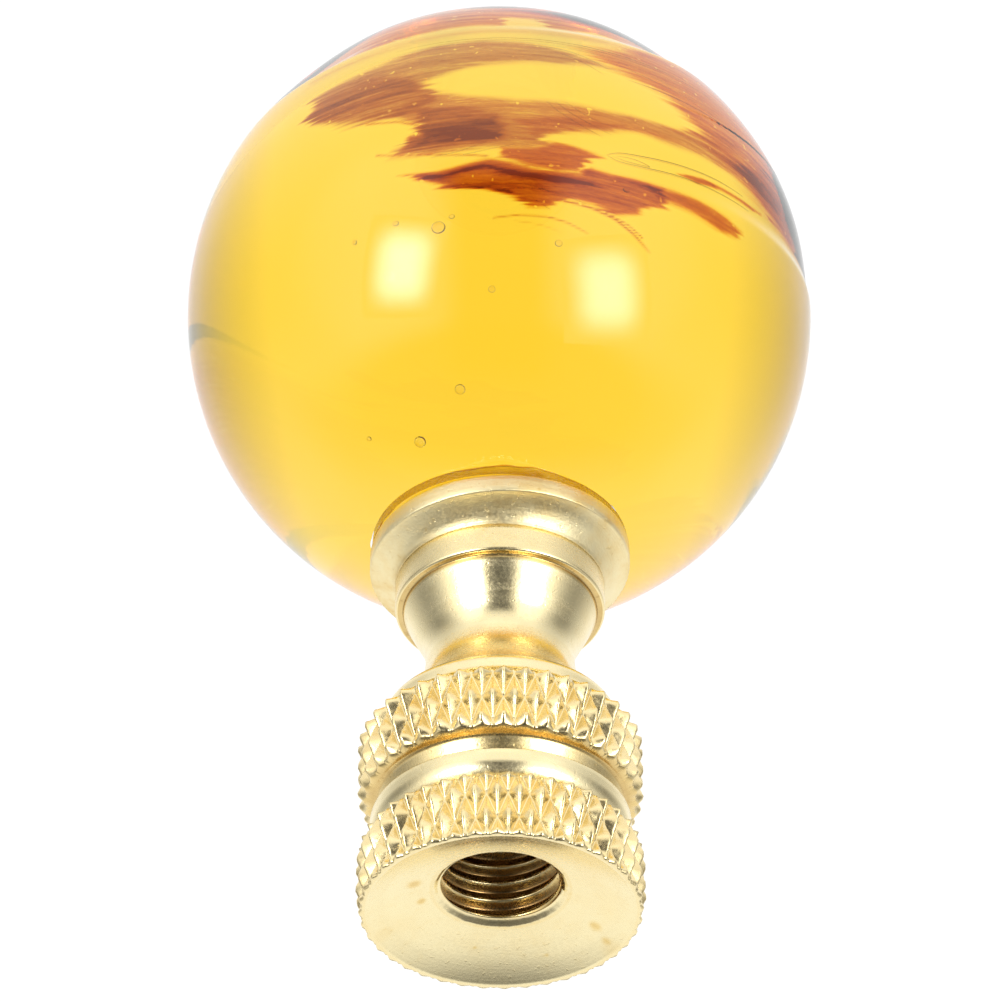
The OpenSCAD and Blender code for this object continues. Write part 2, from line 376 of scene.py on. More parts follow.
def cup_piece():
    bead = BEAD_R
    rim_bottom = CUP_BOTTOM + 1.11
    points = [(2.66, CUP_BOTTOM + 0.01), (bead - 0.02, CUP_BOTTOM + 0.01), (bead, CUP_BOTTOM + 0.03)]
    cove_r = 2.4
    a = np.array([bead, CUP_BOTTOM + 0.12])
    b = np.array([CUP_R - 0.1, rim_bottom])
    mid, span = (a + b) / 2, b - a
    chord = np.linalg.norm(span)
    centre = mid + np.array([span[1], -span[0]]) / chord * math.sqrt(cove_r**2 - chord**2 / 4)
    t0 = math.degrees(math.atan2(a[1] - centre[1], a[0] - centre[0]))
    t1 = math.degrees(math.atan2(b[1] - centre[1], b[0] - centre[0]))
    points += arc(centre, cove_r, t0, t1, 14)
    points += [(CUP_R - 0.03, rim_bottom + 0.02), (CUP_R, rim_bottom + 0.09), (CUP_R, CUP_TOP - 0.10)]
    points += [(CUP_R - 0.02, CUP_TOP - 0.03), (CUP_R - 0.09, CUP_TOP)]
    lip_r = math.sqrt(max(0, SEAT_R**2 - (BALL_Z - CUP_TOP) ** 2))
    points += [(lip_r, CUP_TOP)]
    for r in np.linspace(lip_r, 2.66, 14)[1:]:
        points.append((r, BALL_Z - math.sqrt(SEAT_R**2 - r**2)))
    lathe = Lathe()
    for r, z in split(points, 0.3):
        lathe.ring(r, z, COARSE)
    lathe.join(lathe.last, (0, COARSE))
    verts = np.array(lathe.verts)
    # The cup sits slightly crooked on the bead, so its rim is turned but its foot stays flat.
    share = np.clip((verts[:, 2] - CUP_BOTTOM - 0.1) / 0.9, 0, 1)
    share = share * share * (3 - 2 * share)
    verts[:, 2] += share * verts[:, 0] * math.tan(CUP_TILT) * 0.9 - share * 0.06
    lathe.verts = verts.tolist()
    return lathe.build("brass_cup")


# -------------------- stud
def stud_piece():
    lathe = Lathe()
    count = 96
    pitch = 25.4 / 32
    turn = np.arange(count) / count
    lathe.tip(STUD_BOTTOM)
    lathe.ring(STUD_R - 0.45, STUD_BOTTOM + 0.01, count)
    for z in np.arange(STUD_BOTTOM + 0.05, STUD_TOP - 0.04, pitch / 12):
        phase = ((z - turn * pitch) / pitch) % 1.0
        cut = 0.40 * np.clip((np.abs(phase - 0.5) - 0.06) / 0.4, 0, 1)
        end = min(1.0, (z - STUD_BOTTOM) / 0.45, (STUD_TOP - z) / 0.45)
        lathe.ring(np.minimum(STUD_R - cut, STUD_R - 0.45 * (1 - end)), z, count)
    lathe.ring(STUD_R - 0.45, STUD_TOP - 0.01, count)
    lathe.tip(STUD_TOP)
    return lathe.build("threaded_stud")


# -------------------- glass ball
def direction(lat, lon):
    a, b = math.radians(lat), math.radians(lon)
    return np.array([math.cos(a) * math.sin(b), -math.cos(a) * math.cos(b), math.sin(a)])


# The lap line where the hot glass was folded over itself, as latitude and longitude in degrees.
# It starts in front, goes round the back and comes home above its own start.
LAP = [(-9.0, 17.5), (-9.6, 25), (-8.6, 35), (-7.0, 46), (-5.0, 58), (-2.6, 70), (0.5, 84), (6, 105),
       (13, 140), (18, 180), (21, 220), (23, 265), (24.5, 300), (24.8, 325), (25.3, 345), (25.8, 360),
       (26.6, 372), (28.2, 386), (31, 400), (36, 430)]


def lap_path():
    path = []
    for (la0, lo0), (la1, lo1) in zip(LAP[:-1], LAP[1:]):
        n = max(2, int(abs(lo1 - lo0) * 1.5))
        path += [(la0 + (la1 - la0) * i / n, lo0 + (lo1 - lo0) * i / n) for i in range(n)]
    path = np.array(path)
    path[:, 0] = np.convolve(np.pad(path[:, 0], 6, mode="edge"), np.ones(13) / 13, "valid")
    return path


def waves(u, v, spread_u, spread_v, count=26, seed=1):
    """Smooth random unevenness, about -1 to 1, from a sum of seeded waves."""
    dice = np.random.default_rng(seed)
    total = np.zeros(np.shape(u))
    for _ in range(count):
        fu, fv = dice.normal(0, spread_u), dice.normal(0, spread_v)
        total += np.sin(u * fu + v * fv + dice.uniform(0, 6.28))
    return total / math.sqrt(count / 2) / 1.6


def patch(u, v, outline):
    """Signed distance in degrees to a closed outline of longitudes and latitudes, positive inside."""
    pts = np.array(outline, float)
    inside = np.zeros(u.shape, bool)
    gap = np.full(u.shape, 1e9)
    for (x0, y0), (x1, y1) in zip(pts, np.roll(pts, -1, axis=0)):
        dx, dy = x1 - x0, y1 - y0
        t = np.clip(((u - x0) * dx + (v - y0) * dy) / (dx * dx + dy * dy + 1e-9), 0, 1)
        gap = np.minimum(gap, np.hypot(u - x0 - t * dx, v - y0 - t * dy))
        if y0 != y1:
            cross = (y0 > v) != (y1 > v)
            inside ^= cross & (u < (x1 - x0) * (v - y0) / (y1 - y0) + x0)
    return np.where(inside, gap, -gap)


def soft(x, low, high):
    t = np.clip((x - low) / (high - low), 0, 1)
    return t * t * (3 - 2 * t)


def swirls(lat, lon):
    """Density and redness of the brown glass swept through the upper half, for each point."""
    u = (lon + 180) % 360 - 180
    v = lat
    ragged = waves(u, v, 0.05, 2.4, seed=3)
    fibre = waves(u, v, 0.12, 5.0, seed=4)
    blotch = waves(u, v, 0.25, 0.5, seed=5)
    uu = u + 1.3 * ragged + 0.6 * fibre
    vv = v + 0.30 * blotch + 0.12 * fibre
    streak = 0.5 + 0.5 * np.clip(0.6 * ragged + 0.5 * fibre, -1, 1)

    density = np.zeros(u.shape)
    red = np.zeros(u.shape)

    def lay(outline, amount, redness, edge=1.2, grain=0.35):
        nonlocal density, red
        mask = soft(patch(uu, vv, outline), -edge * 0.5, edge)
        mask = mask * (1 - 0.85 * soft(np.abs(uu), 62, 96)) * (1 - 0.75 * soft(vv, 36, 60))
        here = mask * amount * (1 - grain + grain * 2 * streak)
        red = np.where(density + here > 1e-6, (red * density + redness * here) / (density + here + 1e-6), red)
        density = np.maximum(density, here) + 0.25 * np.minimum(density, here)

    # broad peach veil over the right shoulder
    lay([(12, 19.5), (24, 23.5), (30, 27.5), (38, 29.5), (52, 36), (68, 44), (82, 48), (90, 36), (88, 20),
         (84, 6), (77, -0.5), (70, -2), (60, -2.4), (52, -1.5), (46, 0.6), (41, 3), (37, 6), (32, 11),
         (20, 15)],
        0.60, 1.0, 3.2, 0.16)
    lay([(47, 3), (52, 9), (60, 13), (74, 13), (92, 8), (82, 1), (68, -1), (56, -0.5)],
        0.74, 0.85, 3.0, 0.2)
    # thin haze along the ridge
    lay([(-40, 19), (-20, 20.6), (0, 22.4), (20, 22.6), (34, 27), (20, 26.4), (0, 25.2), (-20, 24),
         (-40, 22.5)],
        0.20, 0.4, 2.0, 0.5)
    # upper arm of the hook, then the mass on the left
    lay([(-37, 14.5), (-30, 15.8), (-21, 17.4), (-12, 19.3), (-3, 19.9), (5, 19.2), (12, 17.8),
         (24, 14.2), (13, 12.8), (4, 12.3), (-4, 10.9), (-11, 8.6), (-16, 6.6), (-24, 8), (-34, 9)],
        0.52, 0.12, 1.5, 0.22)
    lay([(-37, 13.5), (-36.5, 9), (-35, 6), (-30, 3), (-24, 1), (-17, -0.6), (-10.5, 2.5), (-11.5, 6.5),
         (-16, 10.5), (-24, 13.5)],
        0.70, 0.35, 1.6, 0.28)
    # lower arm
    lay([(-21, 1.2), (-17, -1), (-14.5, -3), (-14, -4.8), (-19.5, -7), (-19, -8.2), (-12, -8.9),
         (-5, -9.2), (2, -9.2), (9, -8.8), (10, -6), (14, -4.2), (20, -2.8), (27, -1.2), (36, -0.6),
         (46, 0.2), (56, 1.0), (58, 5.2), (46, 4.9), (36, 4.2), (28, 3.0), (20, 2.4), (10, 2.3), (2, 2.4),
         (-6, 3.6), (-12, 5.2)],
        0.52, 0.45, 1.3, 0.25)
    lay([(-16, 2.5), (-15, -2), (-14, -4.8), (-19.5, -7), (-19, -8.2), (-12, -8.9), (-4, -9.2), (2, -8),
         (3, -4), (0, -0.6), (-6, 1.2)],
        0.68, 0.38, 1.6, 0.28)
    lay([(4, -2.5), (12, 0.5), (24, 0.5), (34, 0.8), (30, -0.6), (20, -2.5), (14, -3.8), (8, -6)],
        0.50, 0.9, 1.6, 0.15)
    lay([(32, 3), (38, 6.5), (44, 10), (50, 10.5), (47, 6), (42, 3.5)],
        0.58, 0.7, 1.6, 0.4)
    # orange core between the arms and the dark lens
    lay([(-1, -8.6), (5, -8.2), (11, -7.0), (15, -7.6), (18.6, -8.2), (16.6, -9.6), (15.4, -12.4),
         (11, -13.0), (5, -12.0), (0, -10.6)],
        0.72, 1.0, 0.9, 0.10)
    # dark lens with its long tail
    lay([(-18.5, -12.1), (-12, -12.4), (-7, -11.6), (-2, -10.8), (2, -11.2), (6, -12.0), (10, -12.8),
         (15, -12.4), (17, -11.0), (22, -11.3), (27, -10.9), (32, -10.6), (33, -12.6), (31, -14.6),
         (28, -16.2), (25, -18.2), (21.5, -19.4), (16, -18.4), (11.5, -18.4), (9.5, -19.9), (5.5, -20.1),
         (2.6, -18.6), (-2, -17.2), (-8, -16.1), (-13, -14.7)],
        0.76, 1.0, 0.9, 0.18)
    lay([(28, -10.9), (34, -10.4), (40, -9.8), (45.5, -9.6), (50, -10.7), (49, -12.6), (44, -14.1),
         (37, -13.6), (30, -13.6)],
        0.64, 1.0, 1.1, 0.15)
    # darkest seams inside the lens
    lay([(-18, -12.6), (-10, -12.9), (-3, -11.6), (3, -12.6), (9, -13.6), (17, -13.6), (20, -14.6),
         (10, -15.6), (3, -14.2), (-2, -12.9), (-8, -13.8), (-12, -14.4)],
        1.10, 1.0, 0.9, 0.10)
    lay([(-12, -15.0), (-4, -16.1), (2, -16.6), (5, -18.4), (2, -18), (-4, -16.9)],
        0.95, 1.0, 0.7, 0.2)
    lay([(-16, -4.2), (-10, -4.0), (-3, -4.5), (3, -6.5), (-4, -7.4), (-12, -6.9), (-18, -7.4)],
        0.72, 0.6, 1.0, 0.25)
    # light glowing through the lens
    lit = [(-9, -13.9), (-5, -12.9), (-1, -13.4), (1, -14.6), (-3, -15.6), (-8, -15.2)]
    glow = soft(patch(uu, vv, lit), -0.4, 0.8)
    density = density * (1 - 0.12 * glow)
    red = np.maximum(red, glow)
    # crescent over the crown, above the lap line, with its two clear windows
    lay([(-46, 23.4), (-37, 24.0), (-28, 24.6), (-16, 25.4), (-6, 25.9), (1, 26.4), (2.0, 29), (2, 31.5),
         (9, 31.5), (10.5, 27.5), (16, 27.6), (21, 29.4), (27, 29.4), (36, 31), (56, 46), (58, 60),
         (-54, 60), (-60, 38), (-54, 26)],
        0.56, 1.0, 1.2, 0.3)
    # olive thread in the loop on the right
    lay([(34, -6.6), (37, -5.4), (42, -4.4), (50, -3.0), (56, -2.2), (53, -3.6), (44, -4.9), (39, -6.5)],
        0.72, 1.0, 0.5, 0.35)
    lay([(58, -1.0), (66, 0.6), (74, 2.5), (72, 0.6), (64, -1.2), (56, -2.4)],
        0.62, 0.85, 0.8, 0.4)
    # fine hairs below the lens and scratches across it
    for line, width, amount in [
        ([(-1, -22.3), (4, -21.7), (9, -21.7), (13, -22.3), (17, -23.6)], 0.16, 0.5),
        ([(3, -22.8), (8, -23.3), (12, -24.2)], 0.12, 0.3),
        ([(12, -18.4), (17, -18.8), (22, -19.9), (26, -21.6), (30, -23.9)], 0.2, 0.62),
        ([(20, -19.0), (25, -20.4), (28, -21.8)], 0.14, 0.5),
        ([(-24, 0.6), (-18, -0.7), (-14, -2.6)], 0.22, 0.5),
        ([(-22, -7.0), (-18, -8.2), (-10, -9.6), (-2, -10.4)], 0.2, 0.45),
    ]:
        for (x0, y0), (x1, y1) in zip(line[:-1], line[1:]):
            length2 = (x1 - x0) ** 2 + (y1 - y0) ** 2
            t = np.clip(((u - x0) * (x1 - x0) + (v - y0) * (y1 - y0)) / length2, 0, 1)
            gap = np.hypot(u - x0 - t * (x1 - x0), v - y0 - t * (y1 - y0))
            density = np.maximum(density, amount * np.exp(-((gap / width) ** 2)))
            red = np.where(gap < width * 2, 0.7, red)
    # fade on the far side, so the back of the ball stays clear
    density *= soft(lat, -26, -21) * (1 - soft(np.abs(u), 96, 125))
    return density, red


def ball_piece():
    lats = np.concatenate([np.arange(-80.5, -26, 1.0), np.arange(-26, 34, 0.3), np.arange(34, 89.5, 1.0)])
    lons = np.arange(0, 360, 0.45)
    lat = np.radians(lats)[:, None]
    lon = np.radians(lons)[None, :]
    height = np.sin(lat) * np.ones_like(lon)
    unit = np.stack([np.cos(lat) * np.sin(lon), -np.cos(lat) * np.cos(lon), height], -1)
    flat = unit.reshape(-1, 3)
    path = lap_path()
    pdir = np.array([direction(*p) for p in path])
    nearest = np.zeros(len(flat), int)
    best = np.full(len(flat), 1e9)
    for k in range(len(pdir)):
        near = 1 - flat @ pdir[k]
        closer = near < best
        best = np.where(closer, near, best)
        nearest = np.where(closer, k, nearest)
    best = np.sqrt(np.maximum(best, 0) * 2) * BALL_R
    progress = nearest / len(pdir)
    above = np.degrees(np.arcsin(flat[:, 2])) - path[nearest, 0]
    strength = np.clip(progress / 0.12, 0, 1) * np.clip((1 - progress) / 0.15, 0, 1)
    # the lap has almost melted away round the back
    strength = strength * (1 - 0.97 * soft(np.abs(progress - 0.52), 0.40, 0.27))
    # the lap is a rounded step: the glass above it lies lower, with a small crease at its foot
    side = BALL_R * np.radians(above)
    near = np.exp(-((best / 3.0) ** 2))
    step = -0.20 * soft(side, -0.5, 0.5) * near
    crease = -0.045 * np.exp(-((best / 0.40) ** 2))
    radius = BALL_R + strength * (step + crease)
    # shallow dents where the lap meets the outline on each side of the crown
    for lat0, lon0, deep, reach in ((28.5, -42, 0.30, 2.9), (31, 43, 0.28, 3.0)):
        gap = np.arccos(np.clip(flat @ direction(lat0, lon0), -1, 1)) * BALL_R
        radius -= deep * np.exp(-((gap / reach) ** 2)) * soft(side, -0.4, 0.9)
    wobble = 0.02 * waves(flat[:, 0] * 3, flat[:, 2] * 4 + flat[:, 1], 0.8, 0.8, 12, 9)
    radius = np.minimum(radius + np.minimum(0, wobble), BALL_R - 0.002)
    verts = flat * radius[:, None] + np.array([0, 0, BALL_Z])
    rows, cols = len(lats), len(lons)
    index = np.arange(rows * cols).reshape(rows, cols)
    nxt = np.roll(index, -1, axis=1)
    faces = np.stack([index[:-1], nxt[:-1], nxt[1:], index[1:]], -1).reshape(-1, 4).tolist()
    verts = verts.tolist()
    top = len(verts)
    verts.append([0, 0, BALL_TOP - 0.01])
    faces += [(int(index[-1, i]), int(nxt[-1, i]), top) for i in range(cols)]
    # Blind hole in the underside
    last, last_next = index[0], nxt[0]
    mouth = BALL_Z - math.sqrt(BALL_R**2 - HOLE_R**2) + 0.02
    for r, z in [(HOLE_R, mouth), (HOLE_R, HOLE_TOP - 0.3), (HOLE_R - 0.3, HOLE_TOP)]:
        start = len(verts)
        verts += [[r * math.sin(t), -r * math.cos(t), z] for t in np.radians(lons)]
        ring = np.arange(start, start + cols)
        ring_next = np.roll(ring, -1)
        faces += np.stack([ring, ring_next, last_next, last], -1).tolist()
        last, last_next = ring, ring_next
    start = len(verts)
    verts.append([0, 0, HOLE_TOP])
    faces += [(int(last_next[i]), int(last[i]), start) for i in range(cols)]
    obj = make_mesh("amber_ball", verts, faces)
    lat_all = np.degrees(np.arcsin(np.clip(flat[:, 2], -1, 1)))
    lon_all = np.degrees(np.arctan2(flat[:, 0], -flat[:, 1]))
    density, red = swirls(lat_all, lon_all)
    spare = len(verts) - len(flat)
    for name, values in (("swirl", density), ("red", red)):
        field = obj.data.attributes.new(name, "FLOAT", "POINT")
        field.data.foreach_set("value", np.concatenate([values, np.zeros(spare)]).astype(np.float32))
    flow = obj.data.attributes.new("flow", "FLOAT_VECTOR", "POINT")
    along = np.stack([lon_all * 0.12, lat_all * 1.0, np.zeros(len(flat))], 1)
    flow.data.foreach_set("vector", np.concatenate([along, np.zeros((spare, 3))]).astype(np.float32).ravel())
    return obj


def bubble(name, lat, lon, depth, radius, stretch=1.0):
    """A gas bubble under the skin of the ball, drawn out along the flow."""
    mesh = bpy.data.meshes.new(name)
    obj = add_object(name, mesh)
    bm = bmesh.new()
    bmesh.ops.create_uvsphere(bm, u_segments=20, v_segments=12, radius=radius * MM)
    bmesh.ops.scale(bm, vec=(stretch, 1, 1), verts=bm.verts)
    bm.to_mesh(mesh)
    bm.free()
    mesh.polygons.foreach_set("use_smooth", [True] * len(mesh.polygons))
    way = direction(lat, lon)
    east = np.array([math.cos(math.radians(lon)), math.sin(math.radians(lon)), 0])
    frame3 = Matrix((Vector(east), Vector(np.cross(way, east)), Vector(way))).transposed()
    place = Vector(way * (BALL_R - depth) + np.array([0, 0, BALL_Z])) * MM
    obj.matrix_world = Matrix.Translation(place) @ frame3.to_4x4()
    return obj


def thread_line(name, points, radius, depth=0.25, steps=10):
    """A thin drawn seam inside the glass, close under its skin, as a tapered closed tube."""
    path = []
    for k in range(len(points) - 1):
        p0, p1 = np.array(points[max(k - 1, 0)], float), np.array(points[k], float)
        p2, p3 = np.array(points[k + 1], float), np.array(points[min(k + 2, len(points) - 1)], float)
        for i in range(steps):
            t = i / steps
            path.append(0.5 * (2 * p1 + (p2 - p0) * t + (2 * p0 - 5 * p1 + 4 * p2 - p3) * t**2
                               + (3 * p1 - p0 - 3 * p2 + p3) * t**3))
    path.append(np.array(points[-1], float))
    path = np.array(path)
    centre = np.array([direction(la, lo) * (BALL_R - depth) + np.array([0, 0, BALL_Z]) for lo, la in path])
    verts, faces = [], []
    sides = 8
    n = len(centre)
    for k in range(n):
        ahead = centre[min(k + 1, n - 1)] - centre[max(k - 1, 0)]
        ahead /= np.linalg.norm(ahead)
        out = centre[k] - np.array([0, 0, BALL_Z])
        out /= np.linalg.norm(out)
        side = np.cross(ahead, out)
        taper = max(0.12, math.sin(math.pi * min(1, max(0, k / (n - 1)))) ** 0.5) * radius
        for s in range(sides):
            t = 2 * math.pi * s / sides
            verts.append(centre[k] + taper * (math.cos(t) * side + 0.5 * math.sin(t) * out))
    for k in range(n - 1):
        for s in range(sides):
            t = (s + 1) % sides
            faces.append((k * sides + s, k * sides + t, (k + 1) * sides + t, (k + 1) * sides + s))
    faces.append(tuple(reversed(range(sides))))
    faces.append(tuple((n - 1) * sides + s for s in range(sides)))
    return make_mesh(name, verts, faces)


def adhesive_edge():
    """The bead of clear adhesive squeezed out between the cup and the ball, thin and wavy."""
    verts, faces = [], []
    count, sides = 240, 8
    for k in range(count):
        t = 2 * math.pi * k / count
        wave = 0.05 * math.sin(3 * t + 1) + 0.04 * math.sin(7 * t)
        wave += 0.025 * math.sin(17 * t + 2) + 0.02 * math.sin(31 * t)
        r = CUP_R - 0.14 + wave
        z = BALL_Z - math.sqrt(BALL_R**2 - r * r)
        out = np.array([r * math.sin(t), -r * math.cos(t), z - BALL_Z]) / BALL_R
        side = np.cross(np.array([math.cos(t), math.sin(t), 0]), out)
        here = np.array([r * math.sin(t), -r * math.cos(t), z]) + out * 0.005
        thick = 0.028 + 0.012 * math.sin(5 * t + 2)
        for s in range(sides):
            a = 2 * math.pi * s / sides
            verts.append(here + thick * (1.6 * math.cos(a) * side + 0.6 * math.sin(a) * out))
    for k in range(count):
        for s in range(sides):
            a, b = k * sides, ((k + 1) % count) * sides
            t = (s + 1) % sides
            faces.append((a + s, a + t, b + t, b + s))
    return make_mesh("adhesive_edge", verts, faces)


base = base_piece()
cup = cup_piece()
stud = stud_piece()
ball = ball_piece()
squeeze = adhesive_edge()

# Latitude, longitude, depth under the skin, radius in millimetres and how far drawn out
BUBBLES = [
    (-22.6, -11.9, 0.9, 0.30, 1.15), (-20.4, -20.2, 0.8, 0.13, 1.2), (-20.9, -9.1, 0.8, 0.12, 1.2),
    (-21.6, -29.2, 0.8, 0.12, 1.0), (-29.5, -23.6, 1.0, 0.25, 1.0), (-34.7, -1.6, 1.0, 0.17, 1.0),
    (-25.7, 12.0, 0.8, 0.17, 1.1), (-52.5, -11.8, 1.0, 0.25, 1.0), (-60.3, -30.6, 1.0, 0.28, 1.0),
    (-55.4, -46.4, 0.8, 0.12, 1.0), (-15.9, 8.0, 0.5, 0.08, 1.6), (-13.2, 24.0, 0.5, 0.12, 1.4),
]
bubbles = [bubble(f"bubble_{i + 1:02d}", *b) for i, b in enumerate(BUBBLES)]
# Longitude and latitude of the seams of the loop on the right, and of the brighter scratches
SEAMS = [
    ("loop_upper", [(19.6, -7.4), (22, -6.4), (27, -5.6), (34, -4.4), (42, -3.2), (50, -2.4)], 0.055),
    ("loop_lower", [(19.6, -7.4), (22, -8.2), (27, -7.9), (34, -6.8), (42, -5.8), (52, -4.6)], 0.055),
    ("loop_core", [(20.6, -7.4), (24, -7.7), (28, -7.3), (25, -6.8), (21.4, -7.1)], 0.035),
    ("lens_scratch_1", [(-1, -16.9), (5, -16.3), (11, -16.9), (17, -18.2)], 0.03),
    ("lens_scratch_2", [(1, -15.6), (6, -15.8), (12, -17.6)], 0.022),
    ("lens_scratch_3", [(5.6, -17.8), (7.4, -18.9), (9.8, -20.2)], 0.025),
    ("arm_scratch_1", [(8.6, 2.6), (11, 0.2), (15, -2.2), (19, -3.9)], 0.03),
    ("arm_scratch_2", [(10, 2.9), (13, 0.4), (17, -1.6), (21, -3.0)], 0.025),
    ("arm_scratch_3", [(12, 3.0), (15, 0.9), (19, -0.8)], 0.02),
    ("hook_scratch_1", [(-12.5, -9.6), (-7, -8.8), (-2, -7.0)], 0.03),
    ("hook_scratch_2", [(-8, -9.9), (-3, -9.0), (3, -7.6)], 0.025),
    ("hook_scratch_3", [(-19, -5.6), (-13, -5.2), (-10, -5.0)], 0.03),
    ("crown_scratch_1", [(10, 17.6), (15, 15.6), (20, 12.4)], 0.025),
    ("crown_scratch_2", [(5, 19.2), (14, 18.0), (21, 14.6)], 0.022),
    ("crown_line_1", [(-20, 20.6), (0, 21.3), (20, 21.2), (40, 21.0), (58, 20.6)], 0.035),
    ("crown_line_2", [(-12, 20.2), (6, 20.6), (24, 20.3), (34, 20.4)], 0.025),
    ("veil_line_1", [(24, 13.0), (36, 13.0), (50, 13.4)], 0.03),
    ("veil_line_2", [(22, 17.4), (30, 15.8), (40, 14.6)], 0.022),
]
seams = [thread_line(name, points, radius) for name, points, radius in SEAMS]


# -------------------- materials
class Nodes:
    """Short ways to add shader nodes to one tree."""

    def __init__(self, tree):
        self.tree = tree

    def put(self, socket, value):
        if isinstance(value, bpy.types.NodeSocket):
            self.tree.links.new(value, socket)
        else:
            socket.default_value = value

    def math(self, operation, a, b=0.0, c=0.0, clamp=False):
        node = self.tree.nodes.new("ShaderNodeMath")
        node.operation = operation
        node.use_clamp = clamp
        for socket, value in zip(node.inputs, (a, b, c)):
            self.put(socket, value)
        return node.outputs[0]

    def times(self, a, b):
        return self.math("MULTIPLY", a, b)

    def plus(self, a, b):
        return self.math("ADD", a, b)

    def vector(self, operation, a, b=(0, 0, 0)):
        node = self.tree.nodes.new("ShaderNodeVectorMath")
        node.operation = operation
        self.put(node.inputs[0], a)
        self.put(node.inputs[1], b)
        return node.outputs["Value"] if operation in ("DOT_PRODUCT", "LENGTH") else node.outputs[0]

    def remap(self, value, low, high, to_low=0.0, to_high=1.0, smooth=True):
        node = self.tree.nodes.new("ShaderNodeMapRange")
        node.interpolation_type = "SMOOTHSTEP" if smooth else "LINEAR"
        for key, number in (("Value", value), ("From Min", low), ("From Max", high),
                            ("To Min", to_low), ("To Max", to_high)):
            self.put(node.inputs[key], number)
        return node.outputs["Result"]

    def noise(self, vector, scale, detail=2.0, roughness=0.5, distortion=0.0):
        node = self.tree.nodes.new("ShaderNodeTexNoise")
        node.inputs["Scale"].default_value = scale
        node.inputs["Detail"].default_value = detail
        node.inputs["Roughness"].default_value = roughness
        node.inputs["Distortion"].default_value = distortion
        self.put(node.inputs["Vector"], vector)
        return node.outputs["Fac"]

    def attribute(self, name, output="Fac"):
        node = self.tree.nodes.new("ShaderNodeAttribute")
        node.attribute_name = name
        return node.outputs[output]

    def place(self):
        return self.tree.nodes.new("ShaderNodeTexCoord").outputs["Object"]

    def split(self, vector):
        node = self.tree.nodes.new("ShaderNodeSeparateXYZ")
        self.put(node.inputs[0], vector)
        return node.outputs

    def join(self, x, y, z=0.0):
        node = self.tree.nodes.new("ShaderNodeCombineXYZ")
        for socket, value in zip(node.inputs, (x, y, z)):
            self.put(socket, value)
        return node.outputs[0]

    def ramp(self, value, stops):
        node = self.tree.nodes.new("ShaderNodeValToRGB")
        band = node.color_ramp
        band.elements[0].position, band.elements[1].position = stops[0][0], stops[-1][0]
        band.elements[0].color = (*stops[0][1], 1)
        band.elements[1].color = (*stops[-1][1], 1)
        for position, colour in stops[1:-1]:
            band.elements.new(position).color = (*colour, 1)
        self.put(node.inputs["Fac"], value)
        return node.outputs["Color"]

    def mix(self, factor, a, b, kind="MIX"):
        node = self.tree.nodes.new("ShaderNodeMix")
        node.data_type = "RGBA"
        node.blend_type = kind
        self.put(node.inputs[0], factor)
        self.put(node.inputs[6], a)
        self.put(node.inputs[7], b)
        return node.outputs[2]


def new_material(name):
    mat = bpy.data.materials.new(name)
    mat.use_nodes = True
    return mat, mat.node_tree, mat.node_tree.nodes["Principled BSDF"]


def brass_material(name, clean, roughness, grain_height, turning=1.0, stains=0.13):
    """Turned brass, clean to brown by the surface's tone, with turning marks, pits and blotches."""
    mat, tree, shader = new_material(name)
    n = Nodes(tree)
    shader.inputs["Metallic"].default_value = 1.0
    place = n.place()
    xyz = n.split(place)
    radius = n.vector("LENGTH", n.join(xyz[0], xyz[1]))
    rings = n.noise(n.join(radius, xyz[2]), 7000, 3, 0.7)
    coarse_rings = n.noise(n.join(radius, xyz[2]), 1500, 2)
    blotch = n.noise(place, 330, 5, 0.62)
    patchy = n.noise(place, 1500, 3, 0.6)
    grain = n.noise(place, 7500, 2, 0.6)
    pits = n.remap(n.noise(place, 4200, 1, 0.5), 0.66, 0.74)
    tone = n.attribute("tone")
    tone = n.plus(tone, n.remap(blotch, 0.42, 0.70, 0.0, stains))
    tone = n.plus(tone, n.remap(patchy, 0.5, 0.75, 0.0, 0.08))
    tone = n.math("ADD", tone, n.math("MULTIPLY", pits, 0.10), clamp=True)
    colour = n.ramp(tone, [(0.0, clean), (0.22, (0.93, 0.77, 0.42)), (0.45, (0.86, 0.65, 0.28)),
                           (0.70, (0.62, 0.43, 0.17)), (1.0, (0.34, 0.20, 0.075))])
    n.put(shader.inputs["Base Color"], colour)
    rough = n.plus(n.remap(grain, 0.3, 0.7, roughness * 0.85, roughness * 1.15),
                   n.remap(coarse_rings, 0.3, 0.7, -0.03, 0.04))
    n.put(shader.inputs["Roughness"], rough)
    height = n.math("MULTIPLY_ADD", rings, 0.7 * turning, n.times(grain, 1.0))
    height = n.math("SUBTRACT", height, n.times(pits, 0.8))
    bump = tree.nodes.new("ShaderNodeBump")
    bump.inputs["Strength"].default_value = 1.0
    bump.inputs["Distance"].default_value = grain_height
    n.put(bump.inputs["Height"], height)
    n.put(shader.inputs["Normal"], bump.outputs["Normal"])
    return mat


